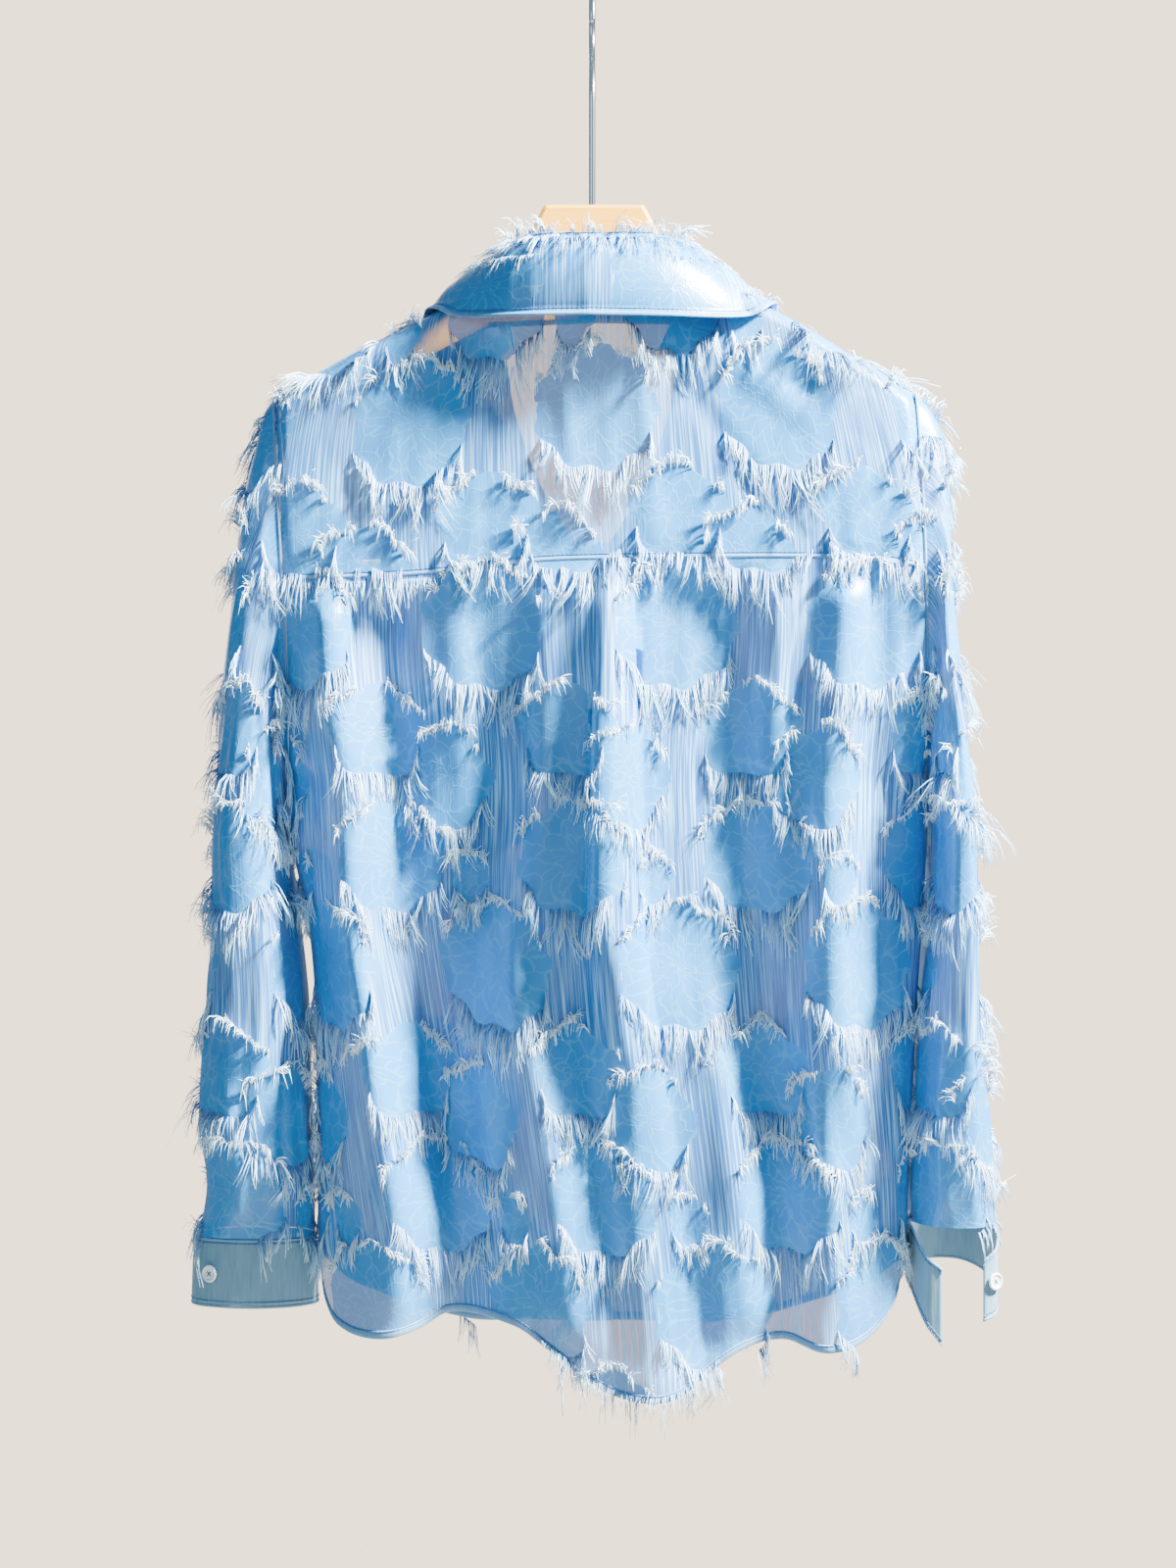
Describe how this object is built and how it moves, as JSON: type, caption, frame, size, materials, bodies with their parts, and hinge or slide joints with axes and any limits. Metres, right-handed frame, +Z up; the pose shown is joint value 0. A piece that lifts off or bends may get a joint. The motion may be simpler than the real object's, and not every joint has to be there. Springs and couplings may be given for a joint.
{
  "type": "shirt on a hanger",
  "caption": "Sheer light blue long-sleeved shirt with rows of cut-thread fringe, hanging with its back to the viewer on a flat wooden hanger with a steel hook.",
  "frame": {"origin": "the underside of the hanger hook's crown, where a rail holds it", "axes": "+Z up, -Y out of the shirt's back, +Y out of its front, +X towards the wearer's right"},
  "size_m": [0.5473, 0.143, 0.9445],
  "materials": {
    "cloth": "sheer satin weave",
    "fringe": "shiny cut threads",
    "button": "pearly white",
    "wood": "clear satin varnish",
    "steel": "polished"
  },
  "bodies": {
    "root": {"back_panel": "cloth", "button_1": "button", "button_2": "button", "button_3": "button", "button_4": "button", "button_5": "button", "button_collar": "button", "button_cuff_left": "button", "button_cuff_right": "button", "collar_leaf": "cloth", "collar_stand": "cloth", "cuff_left": "cloth", "cuff_right": "cloth", "fringe_back_1": "fringe", "fringe_back_10": "fringe", "fringe_back_11": "fringe", "fringe_back_12": "fringe", "fringe_back_2": "fringe", "fringe_back_3": "fringe", "fringe_back_4": "fringe", "fringe_back_5": "fringe", "fringe_back_6": "fringe", "fringe_back_7": "fringe", "fringe_back_8": "fringe", "fringe_back_9": "fringe", "fringe_collar": "fringe", "fringe_front_1": "fringe", "fringe_front_2": "fringe", "fringe_front_3": "fringe", "fringe_front_4": "fringe", "fringe_front_5": "fringe", "fringe_hem": "fringe", "fringe_sleeve_left_1": "fringe", "fringe_sleeve_left_2": "fringe", "fringe_sleeve_left_3": "fringe", "fringe_sleeve_right_1": "fringe", "fringe_sleeve_right_2": "fringe", "fringe_sleeve_right_3": "fringe", "fringe_yoke_1": "fringe", "fringe_yoke_2": "fringe", "fringe_yoke_3": "fringe", "fringe_yoke_4": "fringe", "front_left": "cloth", "front_right": "cloth", "hanger_board": "wood", "hanger_hook": "steel", "placket": "cloth", "pocket": "cloth", "sleeve_left": "cloth", "sleeve_right": "cloth", "yoke": "cloth"}
  },
  "joints": []
}
